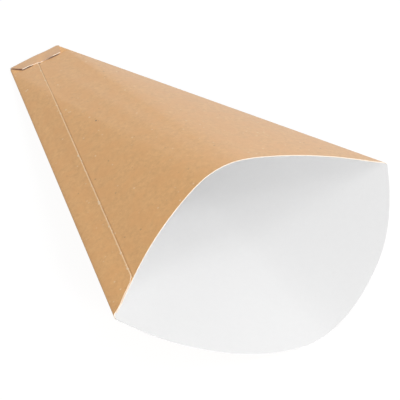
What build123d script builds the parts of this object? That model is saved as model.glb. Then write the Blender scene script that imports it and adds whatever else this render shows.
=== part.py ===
from build123d import *
import math
import os

# Paper crepe cone, in millimetres. One die-cut card blank is folded at two side creases,
# lapped and glued along the left crease, and closed at the narrow end by a tab that folds
# over the front. It lies on its back panel with the opened mouth towards -Y, +Z up, and
# its origin is at the middle of its box, on the surface that it lies on.

# Folded outline
mouth_width = 141.0  # from crease to crease at the mouth corners
hem_width = 27.0  # from crease to crease at the hem fold
crease_length = 178.0  # along the middle, from the hem fold to the line of the mouth corners
front_scoop = 23.3  # dip of the front panel's edge, back from the mouth corners
back_tongue = 37.6  # reach of the back panel's edge, out past the mouth corners
panel_bow = 25.0  # how far each opened panel stands off the crease plane at the corners
card = 0.4  # thickness of the card

# Closed narrow end
hem_length = 7.0  # length over which the two panels lie flat on each other
hem_gap = 0.1  # between the panels where they start to part
tab_length = 6.0  # from the hem fold to the tab's free edge
tab_left_slant = 4.0  # how far the tab's left end slants in
tab_right_slant = 2.0  # how far its right end slants in
tab_drape = 2.0  # run of the tab's slope from the lap down to the front panel

# Glued lap on the front panel
lap_width = 13.4  # from the left crease to the lap's free edge, along the card
lap_setback = 0.6  # from the front panel's mouth edge back to the lap's
lap_corner = 1.5  # cut corner where the free edge meets the mouth edge

# How a panel bends: a flat middle narrows from the hem to the mouth, and a bend fans out
# from each hem corner to the side of it
crown_flat = 2.0  # width of the flat middle at the tongue's tip
fan_root = 1.2  # width of each bend where it starts at the hem
bend_share = 0.25  # place of a bend's control point, of its width from the flat middle

panel_spans = 5  # equal stretches in which the panels are lofted

overrun = 5.0  # how far cutting shapes reach past the card


def half_width(station):
    """Half the distance between the creases, at a distance from the hem fold."""
    spread = (mouth_width - hem_width) / 2
    return hem_width / 2 + spread * station / crease_length


def half_flat(station):
    """Half the width of a panel's flat middle."""
    at_hem = half_width(hem_length) - fan_root
    run = crease_length + back_tongue - hem_length
    return at_hem + (crown_flat / 2 - at_hem) * (station - hem_length) / run


def rise(station):
    """Height of a panel's flat middle above the creases."""
    return panel_bow * max(station - hem_length, 0) / (crease_length - hem_length)


def foot_angle(station):
    """Slope of a panel where it leaves the crease, in radians."""
    parted = max(station, hem_length)
    bend_width = half_width(parted) - half_flat(parted)
    return math.atan2(rise(parted), bend_width * (1 - bend_share))


def arch(station, offset, side):
    """Points of a panel's section, left to right, at an offset from its inner face."""
    angle = foot_angle(station)
    flat = half_flat(station)
    reach = half_width(station) + offset * math.sin(angle)
    foot = hem_gap / 2 + offset * math.cos(angle)
    bend = flat + (half_width(station) - flat) * bend_share + offset * math.tan(angle / 2)
    peak = hem_gap / 2 + rise(station) + offset
    return [(-reach, side * foot), (-bend, side * peak), (-flat, side * peak),
            (flat, side * peak), (bend, side * peak), (reach, side * foot)]


def depth(station):
    """How far the back panel's outer face lies below the crease plane, in the middle."""
    return hem_gap / 2 + rise(station) + card


def seam(station):
    """Place of the lap's free edge across the cone, seen square to the crease plane."""
    at_hem = lap_width - hem_width / 2
    at_mouth = lap_width * math.cos(foot_angle(crease_length)) - mouth_width / 2
    return at_hem + (at_mouth - at_hem) * station / crease_length


# Stations along the cone, from the hem fold, and the rest on the hem fold and tongue tip
tip = crease_length + back_tongue
far = tip + overrun
stations = [hem_length + (far - hem_length) * step / panel_spans for step in range(panel_spans + 1)]
tilt = math.atan2(depth(tip) - depth(0), tip)
stack = hem_gap + 4 * card
reach_out = tip * math.cos(tilt) + depth(tip) * math.sin(tilt)
hem_point = (0, (reach_out - stack / 2) / 2, depth(0) * math.cos(tilt))
to_mouth = (0, -math.cos(tilt), math.sin(tilt))
to_front = (0, math.sin(tilt), math.cos(tilt))

# Across the cone: x to the right, y to the front, offset by the station.
# The crease plane: x to the right, y back to the hem. Side view: x is the station, y to the front.
across = Plane(origin=hem_point, x_dir=(1, 0, 0), z_dir=to_mouth)
creases = Plane(origin=hem_point, x_dir=(1, 0, 0), z_dir=to_front)
side_view = Plane(origin=hem_point, x_dir=to_mouth, z_dir=(-1, 0, 0))


def side_fold(start, end, station):
    """Round fold from one panel's edge to the other's, bulging to the left of its way."""
    turn = math.pi / 2 - foot_angle(station)
    SagittaArc(start, end, math.dist(start, end) / 2 * math.tan(turn / 2))


def panel_curve(points):
    """A panel's section: a bend, the flat middle and a bend."""
    Bezier(*points[:3])
    Line(points[2], points[3])
    Bezier(*points[3:])


def wall_section(station):
    """Outside of the two panels, with a round right fold; the lap's section rounds the left."""
    front = arch(station, card, 1)
    back = arch(station, card, -1)
    with BuildSketch(across.offset(station)) as section:
        with BuildLine():
            panel_curve(front)
            side_fold(front[-1], back[-1], station)
            panel_curve(back[::-1])
            Line(back[0], front[0])
        make_face()
    return section.sketch


def lap_section(station):
    """Outside of a card layer on the front panel, folded round the left crease from the back."""
    front = arch(station, 2 * card, 1)
    back = arch(station, card, -1)
    with BuildSketch(across.offset(station)) as section:
        with BuildLine():
            panel_curve(front)
            Line(front[-1], back[0])
            side_fold(back[0], front[0], station)
        make_face()
    return section.sketch


def inside_section(station):
    """The room between the panels' inner faces."""
    front = arch(station, 0, 1)
    back = arch(station, 0, -1)
    with BuildSketch(across.offset(station)) as section:
        with BuildLine():
            panel_curve(front)
            Line(front[-1], back[-1])
            panel_curve(back[::-1])
            Line(back[0], front[0])
        make_face()
    return section.sketch


def hem_fold_section(side, start_height, end_height):
    """Round side fold of the flat hem, with a wedge that reaches into the hem."""
    crease = side * half_width(0)
    start = (crease, start_height)
    end = (crease, end_height)
    wedge = (crease - side * depth(0), (start_height + end_height) / 2)
    with BuildSketch(across) as section:
        with BuildLine():
            side_fold(start, end, 0)
            Polyline(end, wedge, start)
        make_face()
    return section.sketch


def along_crease(side):
    """From the hem fold to the end of the flat hem, along a side crease."""
    return Vector(side * (half_width(hem_length) - half_width(0)), 0, 0) + Vector(to_mouth) * hem_length


def tab_profile(layers):
    """Side view of the tab folded round the hem and over a number of card layers."""
    under = -depth(0)
    top = under + hem_gap + (layers + 1) * card
    free_edge = tab_length + overrun
    with BuildSketch(side_view) as profile:
        with BuildLine():
            SagittaArc((0, under), (0, top), (top - under) / 2)
            Polyline((0, top), (free_edge, top), (free_edge, 0), (tab_length / 2, 0), (0, under))
        make_face()
    return profile.sketch


def drape_section(station):
    """Where the tab lies on the lap, with the slope down to the front panel on its right."""
    low = depth(0) + card
    right = seam(station) + tab_drape
    left = seam(station) - tab_drape
    with BuildSketch(across.offset(station)) as section:
        with BuildLine():
            Polyline((-hem_width, -stack), (right, -stack), (right, low),
                     (left, low + 2 * card), (-hem_width, low + 2 * card), close=True)
        make_face()
    return section.sketch


def mouth_lines(bulge, setback):
    """Border of what lies past a mouth edge that bulges towards the hem, in the crease plane."""
    corner_line = setback - crease_length
    left = (-mouth_width / 2, corner_line)
    right = (mouth_width / 2, corner_line)
    SagittaArc(left, right, bulge)
    Polyline(right, (mouth_width, corner_line), (mouth_width, -far - overrun),
             (-mouth_width, -far - overrun), (-mouth_width, corner_line), left)


# Outlines in the crease plane: the flat hem, the tab, the lap and what the mouth edges cut off
with BuildSketch(creases) as hem_outline:
    with BuildLine():
        Polyline((-half_width(0), 0), (half_width(0), 0), (half_width(hem_length), -hem_length),
                 (-half_width(hem_length), -hem_length), close=True)
    make_face()

with BuildSketch(creases) as tab_outline:
    with BuildLine():
        Polyline((-hem_width / 2, stack), (-hem_width / 2, 0),
                 (tab_left_slant - hem_width / 2, -tab_length),
                 (hem_width / 2 - tab_right_slant, -tab_length),
                 (hem_width / 2, 0), (hem_width / 2, stack), close=True)
    make_face()

with BuildSketch(creases) as lap_outline:
    with BuildLine():
        Polyline((-mouth_width, overrun), (seam(-overrun), overrun), (seam(far), -far),
                 (-mouth_width, -far), close=True)
    make_face()
    with BuildLine():
        mouth_lines(front_scoop, lap_setback)
    make_face(mode=Mode.SUBTRACT)
    chamfer(lap_outline.vertices().sort_by(Axis.Y)[2], lap_corner)

with BuildSketch(creases) as past_front:
    with BuildLine():
        mouth_lines(front_scoop, 0)
    make_face()

with BuildSketch(creases) as past_back:
    with BuildLine():
        mouth_lines(-back_tongue, 0)
    make_face()

# Tab on the back and front panels
with BuildPart() as tab:
    extrude(tab_profile(2), amount=hem_width, both=True)
    extrude(tab_outline.sketch, amount=stack, both=True, mode=Mode.INTERSECT)

# Tab where it climbs over the lap
with BuildPart() as tab_on_lap:
    extrude(tab_profile(3), amount=hem_width, both=True)
    extrude(tab_outline.sketch, amount=stack, both=True, mode=Mode.INTERSECT)
    loft([drape_section(-overrun), drape_section(tab_length + overrun)], ruled=True,
         mode=Mode.INTERSECT)

# Lap, from the hem to the mouth, with the left fold
lap_top = depth(0) + card
with BuildPart() as lap:
    extrude(hem_outline.sketch, amount=lap_top)
    extrude(hem_fold_section(-1, -depth(0), lap_top), amount=along_crease(-1).length,
            dir=along_crease(-1))
    loft([lap_section(station) for station in stations], ruled=True)
    extrude(lap_outline.sketch, amount=far, both=True, mode=Mode.INTERSECT)

# The folded card as one piece, opened inside and cut to its mouth edges
with BuildPart() as cone:
    extrude(hem_outline.sketch, amount=depth(0), both=True)
    extrude(hem_fold_section(1, depth(0), -depth(0)), amount=along_crease(1).length,
            dir=along_crease(1))
    loft([wall_section(station) for station in stations], ruled=True)
    add(lap.part)
    loft([inside_section(station) for station in stations], ruled=True, mode=Mode.SUBTRACT)
    add(tab.part)
    add(tab_on_lap.part)
    extrude(past_front.sketch, amount=far, mode=Mode.SUBTRACT)
    extrude(past_back.sketch, amount=-far, mode=Mode.SUBTRACT)
cone.part.label = "crepe_cone"

os.makedirs("parts", exist_ok=True)
export_step(cone.part, "parts/crepe_cone.step")
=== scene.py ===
import math

import bpy
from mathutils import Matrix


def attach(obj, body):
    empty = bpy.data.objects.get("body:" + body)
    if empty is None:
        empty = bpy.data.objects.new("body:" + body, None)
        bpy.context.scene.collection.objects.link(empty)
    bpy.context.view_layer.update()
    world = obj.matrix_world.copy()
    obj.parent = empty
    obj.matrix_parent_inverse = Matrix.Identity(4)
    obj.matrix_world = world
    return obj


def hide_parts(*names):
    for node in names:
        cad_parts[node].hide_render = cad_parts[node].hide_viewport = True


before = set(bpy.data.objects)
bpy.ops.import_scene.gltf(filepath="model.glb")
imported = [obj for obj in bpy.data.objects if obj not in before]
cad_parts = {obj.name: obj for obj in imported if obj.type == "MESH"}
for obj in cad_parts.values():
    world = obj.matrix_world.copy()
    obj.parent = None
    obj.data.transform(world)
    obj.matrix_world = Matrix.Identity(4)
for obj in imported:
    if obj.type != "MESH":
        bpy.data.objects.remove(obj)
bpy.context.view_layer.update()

# The cone is one die-cut blank of white-lined kraft card, 0.4 mm thick. The back panel turns
# round the right crease into the front panel and round the left crease into a glue lap on top
# of it. The panels lie flat on each other at the hem and part towards the mouth.
mouth_width = 0.141
hem_width = 0.027
crease_length = 0.178
front_scoop = 0.0233
back_tongue = 0.0376
panel_bow = 0.025
card = 0.0004
hem_length = 0.007
hem_gap = 0.0001
crown_flat = 0.002
fan_root = 0.0012
bend_share = 0.25


def half_width(station):
    """Half the distance between the creases, at a distance from the hem fold."""
    return hem_width / 2 + (mouth_width - hem_width) / 2 * station / crease_length


def half_flat(station):
    """Half the width of a panel's flat middle, which narrows from the hem to the mouth."""
    at_hem = half_width(hem_length) - fan_root
    if station < hem_length:
        return at_hem * half_width(station) / half_width(hem_length)
    opened = (station - hem_length) / (crease_length + back_tongue - hem_length)
    return at_hem + (crown_flat / 2 - at_hem) * opened


def rise(station):
    """Height of a panel's flat middle above the creases."""
    return panel_bow * max(station - hem_length, 0) / (crease_length - hem_length)


def foot_angle(station):
    """Slope of a panel where it leaves the crease."""
    bend_width = half_width(station) - half_flat(station)
    return math.atan2(rise(station), bend_width * (1 - bend_share))


def panel_point(place, station, offset):
    """Across and height of a point of a panel, at an offset from its inner face.

    The flat middle has places -1 to 1 and the bends go on to 2.
    """
    along_bend = max(abs(place) - 1, 0)
    flat = half_flat(station)
    bend = half_width(station) - flat
    spread = 2 * bend_share * along_bend * (1 - along_bend) + along_bend ** 2
    run = 2 * bend_share * (1 - 2 * along_bend) + 2 * along_bend
    lean = math.atan2(2 * along_bend * rise(station), bend * run)
    across = flat * min(abs(place), 1) + bend * spread + offset * math.sin(lean)
    height = hem_gap / 2 + rise(station) * (1 - along_bend ** 2) + offset * math.cos(lean)
    return math.copysign(across, place), height


def panel_place(across, station):
    """Place on a panel of a point that lies that far across."""
    flat = half_flat(station)
    if abs(across) <= flat:
        return across / flat
    spread = min((abs(across) - flat) / (half_width(station) - flat), 1)
    root = math.sqrt(bend_share ** 2 + (1 - 2 * bend_share) * spread)
    return math.copysign(1 + (root - bend_share) / (1 - 2 * bend_share), across)


# The opened front panel has set fuller along its ridge and flatter on its flanks, the left one
# most. A flank has how far it has set in, and the shares of the half width between which it
# goes in and comes out again.
ridge_set = 0.00095
ridge_share = 0.127
left_flank = (0.0011, 0.11, 0.45, 0.8, 1)
right_flank = (0.0005, 0.15, 0.4, 0.45, 0.85)


def ease(value, start, end):
    """From 0 at the start to 1 at the end, smoothly."""
    share = min(max((value - start) / (end - start), 0), 1)
    return share * share * (3 - 2 * share)


def front_set(across, station):
    """How far the front panel stands off its plain bend."""
    deep, inner, going_in, coming_out, outer = right_flank if across > 0 else left_flank
    share = abs(across) / half_width(station)
    flank = deep * ease(share, inner, going_in) * ease(share, outer, coming_out)
    ridge = ridge_set * math.exp(-(share / ridge_share) ** 2)
    return (ridge - flank) * rise(station) / rise(crease_length - front_scoop)


def front_face(across, station):
    """Point on the outer face of the front panel."""
    across, height = panel_point(panel_place(across, station), station, card)
    return across, station, height + front_set(across, station)


# The glue lap goes on from the back panel, round the left crease and onto the front panel. Its
# free edge is the seam, which runs straight from the mouth and sways out near the hem.
lap_width = 0.0134
seam_sway = 0.0009
seam_sway_length = 0.04


def seam(station):
    """Place of the lap's free edge across the cone."""
    at_hem = lap_width - hem_width / 2
    at_mouth = lap_width * math.cos(foot_angle(crease_length)) - mouth_width / 2
    sway = seam_sway * max(1 - station / seam_sway_length, 0) ** 2
    return at_hem + (at_mouth - at_hem) * station / crease_length + sway


# The mouth edges are die-cut: the front panel's is scooped, with a nick beside each crease, and
# the back panel's is a tongue, flatter at its end and fuller at its shoulders than an arc. Each
# of its cuts has how far it leaves the arc, its place across and its width.
crease_nick = 0.0016
crease_nick_width = 0.005
tongue_cuts = ((0.0009, 0.047, 0.014), (0.0006, -0.058, 0.01), (-0.0008, -0.015, 0.022))


def mouth_edge(across, bulge):
    """Station of a mouth edge that bulges out past the mouth corners, or in if negative."""
    radius = (mouth_width ** 2 / 4 + bulge ** 2) / (2 * abs(bulge))
    dip = radius - math.sqrt(radius ** 2 - min(abs(across), mouth_width / 2) ** 2)
    return crease_length + bulge - math.copysign(dip, bulge)


def tongue_cut(across):
    """How far the tongue's edge leaves its arc."""
    return sum(most * math.exp(-((across - place) / width) ** 2)
               for most, place, width in tongue_cuts)


def nick(across):
    """How far the front panel's mouth edge is cut back beside a side crease."""
    from_crease = mouth_width / 2 - abs(across)
    return crease_nick * max(1 - from_crease / crease_nick_width, 0) ** 2


# The cone lies on its back panel, and touches the floor with the hem fold and with the tip of
# its tongue.
tip = crease_length + back_tongue
under_hem = hem_gap / 2 + card
tilt = math.atan2(rise(tip), tip)
reach = tip * math.cos(tilt) + (rise(tip) + under_hem) * math.sin(tilt)
hem_y = (reach - (hem_gap + 4 * card) / 2) / 2
hem_z = under_hem * math.cos(tilt)


def lie(across, station, height):
    """From the folded blank's own directions to the cone as it lies."""
    y = hem_y - station * math.cos(tilt) + height * math.sin(tilt)
    z = hem_z + station * math.sin(tilt) + height * math.cos(tilt)
    return across, y, z


# The tab goes on from the back panel, round the hem fold and down onto the front panel. The
# fold isn't quite square and its corners are rounded. The tab climbs over the lap, where it is
# glued, and its ends have sprung up a little.
fold_left = 0.0021
fold_right = 0.0003
fold_left_corner = 0.0002
fold_right_corner = 0.001
tab_edge = 0.007
tab_left_slant = 0.0036
tab_right_slant = 0.0028
tab_drape = 0.0012
tab_fold_drape = 0.006
glue_line = 0.00003
left_glue_end = 0.003
left_sprung_end = 0.007
left_lift = 0.0004
right_glue_end = 0.001
right_sprung_end = 0.006
right_lift = 0.0004


def hem_fold(share):
    """Station of the hem fold, at a share of its length from left to right."""
    corner = fold_left_corner if share < 0.5 else fold_right_corner
    end = max(corner - min(share, 1 - share) * hem_width, 0)
    rounding = corner - math.sqrt(corner ** 2 - end ** 2)
    return fold_left + (fold_right - fold_left) * share + rounding


def tab_lift(across):
    """How far the tab's free edge stands off what is under it."""
    on_right = right_lift * ease(across, right_glue_end, right_sprung_end)
    on_left = left_lift * ease(-across, left_glue_end, left_sprung_end)
    return on_right + on_left


def tab_point(fold_across, share, along):
    """Point of the tab's middle layer.

    It turns round the fold from -1 to 0 and lies flat from 0 to 1.
    """
    flat_part = max(along, 0)
    fold = hem_fold(share)
    station = fold + (tab_edge - fold) * flat_part
    slant = tab_left_slant * (1 - share) - tab_right_slant * share
    across = fold_across + slant * flat_part
    drape = tab_drape + tab_fold_drape * (1 - flat_part)
    on_lap = 1 - ease(across, seam(station) - drape / 4, seam(station) + drape)
    low = -hem_gap / 2 - card / 2
    high = hem_gap / 2 + 1.5 * card + glue_line + on_lap * (card + glue_line)
    if along > 0:
        return across, station, high + tab_lift(across) * along ** 2
    turn = math.pi / 2 * (2 * along + 1)
    radius = (high - low) / 2
    return across, station - radius * math.cos(turn), (high + low) / 2 + radius * math.sin(turn)


# Painted shade darkens the thin gaps where the tab has sprung off the card: under its left end
# and free edge, at the step beside the lap, and on the cut of its free edge right of the lap.
gap_shade_width = 0.001
gap_shade_right_end = 0.0105
gap_shade_right_fade = 0.0095
step_shade_start = 0.0003
step_shade_fade = 0.001
step_shade_end = 0.002
cut_shade_most = 0.6
cut_shade_start = 0.001
cut_shade_fade = 0.0075
cut_shade_end = 0.0095


def painted_shade_on_card(across, station):
    """Shade on the card under and beside the tab, from 0 to 1."""
    along_end = max((station - hem_fold(0)) / (tab_edge - hem_fold(0)), 0)
    left_end = tab_left_slant * along_end - half_width(hem_fold(0))
    outside = max(station - tab_edge, left_end - across, 0)
    from_lap = across - seam(station)
    at_step = ease(from_lap, 0, step_shade_start) * ease(from_lap, step_shade_end, step_shade_fade)
    sprung = max(tab_lift(across) / left_lift, at_step)
    sprung *= ease(across, gap_shade_right_end, gap_shade_right_fade)
    return max(1 - outside / gap_shade_width, 0) * sprung


def painted_shade_on_cut(across):
    """Shade on the cut of the tab's free edge, from 0 to 1."""
    return cut_shade_most * ease(across, 0, cut_shade_start) * ease(across, cut_shade_end, cut_shade_fade)


# The flat blank is a grid. Its columns run from hem to mouth: the front panel from its covered
# edge, the right crease, the back panel, the left crease and the lap. Its rows start at the
# tab's free edge, and the card beside the tab is waste.
hidden_edge = 0.01
lap_setback = 0.0003
lap_corner = 0.0015
lap_edge_wear = 0.00045
bend_steps = 24
flat_steps = 40
fold_steps = 8
lap_steps = 40
bend_places = [1 + step / bend_steps for step in range(1, bend_steps + 1)]
flat_places = [2 * step / flat_steps - 1 for step in range(flat_steps + 1)]
panel_places = [-place for place in reversed(bend_places)] + flat_places + bend_places
corner_share = lap_corner / lap_width
lap_shares = [step / lap_steps * (1 - corner_share) for step in range(1, lap_steps + 1)]
lap_shares += [1 - corner_share / 2, 1 - lap_edge_wear / lap_width, 1.0]

columns = [("front", max(place, hidden_edge - 2)) for place in panel_places]
columns += [("right crease", step / fold_steps) for step in range(1, fold_steps)]
columns += [("back", -place) for place in panel_places]
columns += [("left crease", step / fold_steps) for step in range(1, fold_steps)]
columns += [("lap", share) for share in lap_shares]

tab_steps = 8
tab_edge_row = 0.97
turn_steps = 10
hem_steps = 36
hem_end = 0.009
panel_steps = 56
rows = [("tab", 1.0), ("tab", tab_edge_row)]
rows += [("tab", 1 - step / tab_steps) for step in range(1, tab_steps)]
rows += [("tab", -step / turn_steps) for step in range(turn_steps)]
rows += [("hem", step / hem_steps) for step in range(hem_steps)]
rows += [("panel", step / panel_steps) for step in range(panel_steps + 1)]


def blank_point(column, station):
    """Across and height of the blank's middle layer, at a distance from the hem fold."""
    part, place = column
    angle = foot_angle(station)
    turn = (math.pi / 2 - angle) * (1 - 2 * place)
    if part == "front":
        across, height = panel_point(place, station, card / 2)
        return across, height + front_set(across, station)
    if part == "back":
        across, height = panel_point(place, station, card / 2)
        return across, -height
    if part == "right crease":
        radius = card / 2 + hem_gap / 2 / math.cos(angle)
        centre = half_width(station) - hem_gap / 2 * math.tan(angle)
        return centre + radius * math.cos(turn), radius * math.sin(turn)
    if part == "left crease":
        radius = card + hem_gap / 2 * math.cos(angle)
        middle = card / 2 / math.cos(angle)
        return -half_width(station) - radius * math.cos(turn), middle - radius * math.sin(turn)
    across = seam(station) * place - half_width(station) * (1 - place)
    across, height = panel_point(panel_place(across, station), station, 1.5 * card + glue_line)
    return across, height + front_set(across, station)


settling_rounds = 40


def mouth_station(column):
    """Where a column of the blank ends at the mouth, found by going back and forth."""
    part, place = column
    if part == "right crease":
        return crease_length - crease_nick * (1 - place)
    if part == "left crease":
        return crease_length - (crease_nick + lap_setback) * place
    station = crease_length
    for settling in range(settling_rounds):
        across, height = blank_point(column, station)
        if part == "back":
            station = mouth_edge(across, back_tongue) + tongue_cut(across)
        else:
            station = mouth_edge(across, -front_scoop) - nick(across)
        if part == "lap":
            station -= lap_setback + max(lap_corner - lap_width * (1 - place), 0)
    return station


# Kraft liner outside: brown wood fibre, pressed smooth in the mill, with cloudy mottle and with
# paler and darker fibres in it. One larger speck of bark is on the front panel.
def product(nodes, links, first, second):
    """Both masks together."""
    times = nodes.new("ShaderNodeMath")
    times.operation = "MULTIPLY"
    links.new(first, times.inputs[0])
    links.new(second, times.inputs[1])
    return times.outputs["Value"]


def paper_grain():
    """Node group for paper: cloudy mottle, pale flecks, dark specks and a height for bump."""
    group = bpy.data.node_groups.new("paper grain", "ShaderNodeTree")
    for name in ("Mottle", "Flecks", "Specks", "Height"):
        group.interface.new_socket(name=name, in_out="OUTPUT", socket_type="NodeSocketFloat")
    nodes, links = group.nodes, group.links
    output = nodes.new("NodeGroupOutput")
    place = nodes.new("ShaderNodeTexCoord")
    cloud = nodes.new("ShaderNodeTexNoise")
    cloud.inputs["Scale"].default_value = 480
    cloud.inputs["Detail"].default_value = 5
    cloud.inputs["Roughness"].default_value = 0.75
    links.new(place.outputs["Object"], cloud.inputs["Vector"])
    links.new(cloud.outputs["Fac"], output.inputs["Mottle"])
    cells = nodes.new("ShaderNodeTexVoronoi")
    cells.inputs["Scale"].default_value = 330
    links.new(place.outputs["Object"], cells.inputs["Vector"])
    near = nodes.new("ShaderNodeMapRange")
    near.inputs["From Min"].default_value = 0.2
    near.inputs["From Max"].default_value = 0.1
    links.new(cells.outputs["Distance"], near.inputs["Value"])
    lot = nodes.new("ShaderNodeSeparateColor")
    links.new(cells.outputs["Color"], lot.inputs["Color"])
    for name, test, limit in (("Flecks", "GREATER_THAN", 0.6), ("Specks", "LESS_THAN", 0.2)):
        drawn = nodes.new("ShaderNodeMath")
        drawn.operation = test
        drawn.inputs[1].default_value = limit
        links.new(lot.outputs["Red"], drawn.inputs[0])
        shown = product(nodes, links, drawn.outputs["Value"], near.outputs["Result"])
        faded = product(nodes, links, shown, lot.outputs["Green"])
        links.new(faded, output.inputs[name])
    stretch = nodes.new("ShaderNodeMapping")
    stretch.inputs["Rotation"].default_value = (0, 0, 0.4)
    stretch.inputs["Scale"].default_value = (1, 0.45, 1)
    links.new(place.outputs["Object"], stretch.inputs["Vector"])
    fibre = nodes.new("ShaderNodeTexNoise")
    fibre.inputs["Scale"].default_value = 2600
    fibre.inputs["Detail"].default_value = 3
    fibre.inputs["Distortion"].default_value = 0.6
    links.new(stretch.outputs["Vector"], fibre.inputs["Vector"])
    links.new(fibre.outputs["Fac"], output.inputs["Height"])
    return group


def span(nodes, links, value, start, end, most):
    """Mask from 0 at the start to the most at the end."""
    mask = nodes.new("ShaderNodeMapRange")
    mask.interpolation_type = "SMOOTHSTEP"
    mask.inputs["From Min"].default_value = start
    mask.inputs["From Max"].default_value = end
    mask.inputs["To Max"].default_value = most
    links.new(value, mask.inputs["Value"])
    return mask.outputs["Result"]


def band(nodes, links, value, places, most):
    """Mask over a band that starts, is full, begins to fade and ends at the four places."""
    start, full, fade, end = places
    started = span(nodes, links, value, start, full, 1)
    return product(nodes, links, started, span(nodes, links, value, end, fade, most))


def mixed(nodes, links, mask, under, colour):
    """Colour laid over another through a mask."""
    mix = nodes.new("ShaderNodeMix")
    mix.data_type = "RGBA"
    links.new(mask, mix.inputs["Factor"])
    links.new(under, mix.inputs["A"])
    mix.inputs["B"].default_value = (*colour, 1)
    return mix.outputs["Result"]


def point_value(nodes, name):
    """Value that the card's mesh carries at each point."""
    attribute = nodes.new("ShaderNodeAttribute")
    attribute.attribute_name = name
    return attribute.outputs["Fac"]


def paper_finish(name, roughness, dark, pale):
    """Material with the paper grain, and its colour that mottles from dark to pale."""
    finish = bpy.data.materials.new(name)
    finish.use_nodes = True
    nodes, links = finish.node_tree.nodes, finish.node_tree.links
    nodes["Principled BSDF"].inputs["Roughness"].default_value = roughness
    paper = nodes.new("ShaderNodeGroup")
    paper.node_tree = grain
    tone = nodes.new("ShaderNodeValToRGB")
    for end, position, colour in ((0, 0.3, dark), (1, 0.7, pale)):
        tone.color_ramp.elements[end].position = position
        tone.color_ramp.elements[end].color = (*colour, 1)
    links.new(paper.outputs["Mottle"], tone.inputs["Fac"])
    return finish, paper, tone.outputs["Color"]


def fibre_bump(nodes, links, paper, strength):
    """Fine relief of the fibres on the surface."""
    bump = nodes.new("ShaderNodeBump")
    bump.inputs["Strength"].default_value = strength
    bump.inputs["Distance"].default_value = 0.0001
    links.new(paper.outputs["Height"], bump.inputs["Height"])
    links.new(bump.outputs["Normal"], nodes["Principled BSDF"].inputs["Normal"])


grain = paper_grain()
kraft, paper, colour = paper_finish(
    "kraft liner", roughness=0.5, dark=(0.780, 0.405, 0.141), pale=(0.946, 0.529, 0.198))
nodes, links = kraft.node_tree.nodes, kraft.node_tree.links
shader = nodes["Principled BSDF"]
shader.inputs["Specular IOR Level"].default_value = 0.3
shader.inputs["Sheen Weight"].default_value = 0.5
shader.inputs["Sheen Roughness"].default_value = 0.5
kraft_place = nodes.new("ShaderNodeTexCoord")
patches = nodes.new("ShaderNodeTexNoise")
patches.inputs["Scale"].default_value = 130
links.new(kraft_place.outputs["Object"], patches.inputs["Vector"])
patch = span(nodes, links, patches.outputs["Fac"], 0.4, 0.65, 0.5)
colour = mixed(nodes, links, patch, colour, (0.886, 0.451, 0.153))
fleck = span(nodes, links, paper.outputs["Flecks"], 0, 0.8, 0.75)
colour = mixed(nodes, links, fleck, colour, (0.98, 0.68, 0.38))
speck = span(nodes, links, paper.outputs["Specks"], 0, 1, 0.45)
colour = mixed(nodes, links, speck, colour, (0.34, 0.16, 0.06))
bark_across = -0.0122
bark_station = 0.077
bark_core = 0.0003
bark_rim = 0.0006
from_bark = nodes.new("ShaderNodeVectorMath")
from_bark.operation = "DISTANCE"
from_bark.inputs[1].default_value = lie(*front_face(bark_across, bark_station))
links.new(kraft_place.outputs["Object"], from_bark.inputs[0])
bark = span(nodes, links, from_bark.outputs["Value"], bark_rim, bark_core, 0.7)
colour = mixed(nodes, links, bark, colour, (0.16, 0.08, 0.04))
fibre_bump(nodes, links, paper, strength=0.08)

# The lap's free edge is die-cut and rubbed: a pale worn line, with torn fibres here and there
# and a painted shadow beside it, from the lap's step, each in a band along the seam. The tab is
# painted greyer as a painted sheen, and painted shade darkens its gaps.
seam_shadow_band = (-0.0001, 0.0001, 0.0004, 0.0008)
worn_band = (-0.00038, -0.00026, 0, 0.0001)
torn_band = (-0.0008, -0.0005, 0.0001, 0.0003)
from_seam = point_value(nodes, "from_seam")
# Painted shadow beside the lap's step.
painted_seam_shadow = band(nodes, links, from_seam, seam_shadow_band, 0.43)
colour = mixed(nodes, links, painted_seam_shadow, colour, (0.30, 0.13, 0.05))
worn = band(nodes, links, from_seam, worn_band, 1)
colour = mixed(nodes, links, worn, colour, (1.0, 0.66, 0.32))
tear = nodes.new("ShaderNodeTexNoise")
tear.inputs["Scale"].default_value = 420
links.new(kraft_place.outputs["Object"], tear.inputs["Vector"])
torn = product(nodes, links, band(nodes, links, from_seam, torn_band, 1),
               span(nodes, links, tear.outputs["Fac"], 0.58, 0.66, 0.75))
colour = mixed(nodes, links, torn, colour, (0.97, 0.76, 0.52))
# Painted sheen: the tab's kraft is made greyer.
painted_tab_sheen = span(nodes, links, point_value(nodes, "on_tab"), 0.5, 1, 0.4)
colour = mixed(nodes, links, painted_tab_sheen, colour, (0.67, 0.45, 0.30))
# Painted shade in the gaps under and beside the tab.
painted_gap_shade = span(nodes, links, point_value(nodes, "tab_shade"), 0, 1, 0.85)
colour = mixed(nodes, links, painted_gap_shade, colour, (0.20, 0.06, 0.015))
links.new(colour, shader.inputs["Base Color"])

# White lining inside: bleached fibre with a smooth clay coat, laid on the kraft in the mill. It
# is nearly even in colour.
lining, paper, colour = paper_finish(
    "white lining", roughness=0.5, dark=(0.862, 0.862, 0.864), pale=(0.878, 0.878, 0.878))
nodes, links = lining.node_tree.nodes, lining.node_tree.links
speck = span(nodes, links, paper.outputs["Specks"], 0, 1, 0.05)
colour = mixed(nodes, links, speck, colour, (0.5, 0.45, 0.4))
links.new(colour, nodes["Principled BSDF"].inputs["Base Color"])
fibre_bump(nodes, links, paper, strength=0.05)

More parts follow.
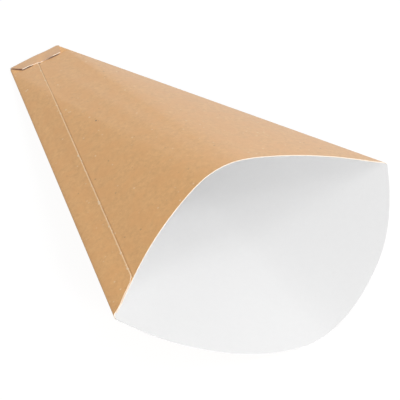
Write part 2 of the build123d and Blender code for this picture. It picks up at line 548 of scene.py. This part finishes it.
# Cut edges show the card's pale core between the two liners, rough from the die. The tab's have
# painted shade in its gaps.
cut_edge, paper, colour = paper_finish(
    "cut card edge", roughness=0.8, dark=(0.80, 0.68, 0.55), pale=(0.90, 0.81, 0.70))
nodes, links = cut_edge.node_tree.nodes, cut_edge.node_tree.links
painted_gap_shade = span(nodes, links, point_value(nodes, "tab_shade"), 0, 1, 0.85)
colour = mixed(nodes, links, painted_gap_shade, colour, (0.17, 0.055, 0.015))
links.new(colour, nodes["Principled BSDF"].inputs["Base Color"])

# The blank is folded up: each point of the grid goes to its place on the cone, the waste beside
# the tab is cut away, and the sheet gets the card's thickness, with the kraft outside and the
# lining inside. The tongue's cut edge is as white as its lining.
bpy.ops.object.select_all(action="DESELECT")
bpy.ops.mesh.primitive_grid_add(
    x_subdivisions=len(columns) - 1, y_subdivisions=len(rows) - 1, size=1)
cone = bpy.context.object
cone.name = "crepe_cone_card"
finishes = (kraft, lining, cut_edge)
for finish in finishes:
    cone.data.materials.append(finish)
ends = [mouth_station(column) for column in columns]
far_from_seam = 1.0
waste = set()
from_seam_at = [far_from_seam] * len(cone.data.vertices)
tab_shade_at = [0.0] * len(cone.data.vertices)
on_tab = [0.0] * len(cone.data.vertices)
for vertex in cone.data.vertices:
    number = round((vertex.co.x + 0.5) * (len(columns) - 1))
    column = columns[number]
    part, place = column
    stretch, share = rows[round((vertex.co.y + 0.5) * (len(rows) - 1))]
    across, height = blank_point(column, 0)
    fold_share = min(max(across / hem_width + 0.5, 0), 1)
    fold = hem_fold(fold_share)
    if stretch == "tab":
        across, height = blank_point(column, fold)
        vertex.co = lie(*tab_point(across, fold_share, share))
        on_tab[vertex.index] = 1.0
        if part != "back":
            waste.add(vertex.index)
        # Painted shade on the cuts of the tab's left end and free edge.
        if fold_share == 0 and share > 0:
            tab_shade_at[vertex.index] = 1.0
        if share == 1:
            tab_shade_at[vertex.index] = painted_shade_on_cut(across)
        continue
    station = fold + share * (hem_end - fold)
    if stretch == "panel":
        station = hem_end + share * (ends[number] - hem_end)
    across, height = blank_point(column, station)
    vertex.co = lie(across, station, height)
    if part == "lap":
        from_seam_at[vertex.index] = lap_width * (place - 1)
    if part == "front":
        from_seam_at[vertex.index] = across - seam(station)
    if part != "back":
        tab_shade_at[vertex.index] = painted_shade_on_card(across, station)
for name, values in (("from_seam", from_seam_at), ("tab_shade", tab_shade_at), ("on_tab", on_tab)):
    attribute = cone.data.attributes.new(name, "FLOAT", "POINT")
    attribute.data.foreach_set("value", values)

bpy.ops.object.mode_set(mode="EDIT")
bpy.ops.mesh.select_mode(type="FACE")
bpy.ops.mesh.select_all(action="DESELECT")
bpy.ops.object.mode_set(mode="OBJECT")
for polygon in cone.data.polygons:
    polygon.select = any(index in waste for index in polygon.vertices)
bpy.ops.object.mode_set(mode="EDIT")
bpy.ops.mesh.delete(type="FACE")
bpy.ops.mesh.select_all(action="SELECT")
bpy.ops.mesh.flip_normals()
bpy.ops.object.mode_set(mode="OBJECT")
thickness = cone.modifiers.new("card thickness", "SOLIDIFY")
thickness.thickness = card
thickness.offset = 0
thickness.use_even_offset = True
thickness.use_quality_normals = True
thickness.material_offset = finishes.index(lining)
thickness.material_offset_rim = finishes.index(cut_edge)
bpy.ops.object.modifier_apply(modifier=thickness.name)
corner_line_y = lie(0, crease_length, 0)[1]
for polygon in cone.data.polygons:
    is_cut = polygon.material_index == finishes.index(cut_edge)
    if is_cut and polygon.center.y < corner_line_y:
        polygon.material_index = finishes.index(lining)
bpy.ops.object.shade_smooth_by_angle(angle=math.radians(35))

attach(cone, "root")
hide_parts("crepe_cone")

# Plain white floor that the cone lies on, a hair below it. Camera and mirror rays see it nearly
# white, with a soft shadow, and it throws a little light on the underside of the card.
floor_drop = 0.00002


def light_level(nodes, links, on_object, seen):
    """Strength of the light on the object, and for rays of the camera, mirrors and glass."""
    rays = nodes.new("ShaderNodeLightPath")
    directly = rays.outputs["Is Camera Ray"]
    for kind in ("Is Glossy Ray", "Is Transmission Ray"):
        either = nodes.new("ShaderNodeMath")
        either.operation = "MAXIMUM"
        links.new(directly, either.inputs[0])
        links.new(rays.outputs[kind], either.inputs[1])
        directly = either.outputs["Value"]
    level = nodes.new("ShaderNodeMapRange")
    level.inputs["To Min"].default_value = on_object
    level.inputs["To Max"].default_value = seen
    links.new(directly, level.inputs["Value"])
    return level.outputs["Result"]


bpy.ops.mesh.primitive_plane_add(size=6, location=(0, 0, -floor_drop))
floor = bpy.context.object
floor.name = "floor"
white_floor = bpy.data.materials.new("white floor")
white_floor.use_nodes = True
nodes, links = white_floor.node_tree.nodes, white_floor.node_tree.links
nodes.remove(nodes["Principled BSDF"])
matt = nodes.new("ShaderNodeBsdfDiffuse")
matt.inputs["Color"].default_value = (0.11, 0.11, 0.11, 1)
glow = nodes.new("ShaderNodeEmission")
links.new(light_level(nodes, links, on_object=0.32, seen=0.93), glow.inputs["Strength"])
both = nodes.new("ShaderNodeAddShader")
links.new(matt.outputs["BSDF"], both.inputs[0])
links.new(glow.outputs["Emission"], both.inputs[1])
links.new(both.outputs["Shader"], nodes["Material Output"].inputs["Surface"])
floor.data.materials.append(white_floor)

# White surroundings give most of the light. A soft box in front lights the inside, and two on
# the right light the right flank and leave the soft shadow of the front edge inside.
world = bpy.data.worlds.new("white studio")
bpy.context.scene.world = world
world.use_nodes = True
nodes, links = world.node_tree.nodes, world.node_tree.links
nodes["Background"].inputs["Color"].default_value = (1, 1, 1, 1)
surroundings = light_level(nodes, links, on_object=0.515, seen=1)
links.new(surroundings, nodes["Background"].inputs["Strength"])
soft_box_distance = 1.1
soft_boxes = ((265, 25, 0.3, 6.75), (320, 30, 0.3, 2.4), (0, 65, 0.5, 1.1))
for bearing, elevation, width, energy in soft_boxes:
    flat_out = soft_box_distance * math.cos(math.radians(elevation))
    bpy.ops.object.light_add(type="AREA", location=(
        flat_out * math.cos(math.radians(bearing)),
        flat_out * math.sin(math.radians(bearing)),
        soft_box_distance * math.sin(math.radians(elevation))))
    soft_box = bpy.context.object
    soft_box.data.shape = "DISK"
    soft_box.data.size = width
    soft_box.data.energy = energy
    soft_box.rotation_euler = (math.radians(90 - elevation), 0, math.radians(bearing + 90))

# The camera looks down into the mouth from the left of the cone, through a long lens.
camera_dip = 46.676
camera_heading = -36.745
bpy.ops.object.camera_add(location=(-0.2476, -0.35933, 0.45261))
camera = bpy.context.object
camera.rotation_euler = (math.radians(90 - camera_dip), 0, math.radians(camera_heading))
camera.data.sensor_width = 36
camera.data.lens = 126
camera.data.clip_start = 0.01
bpy.context.scene.camera = camera
bpy.context.scene.view_settings.view_transform = "Standard"
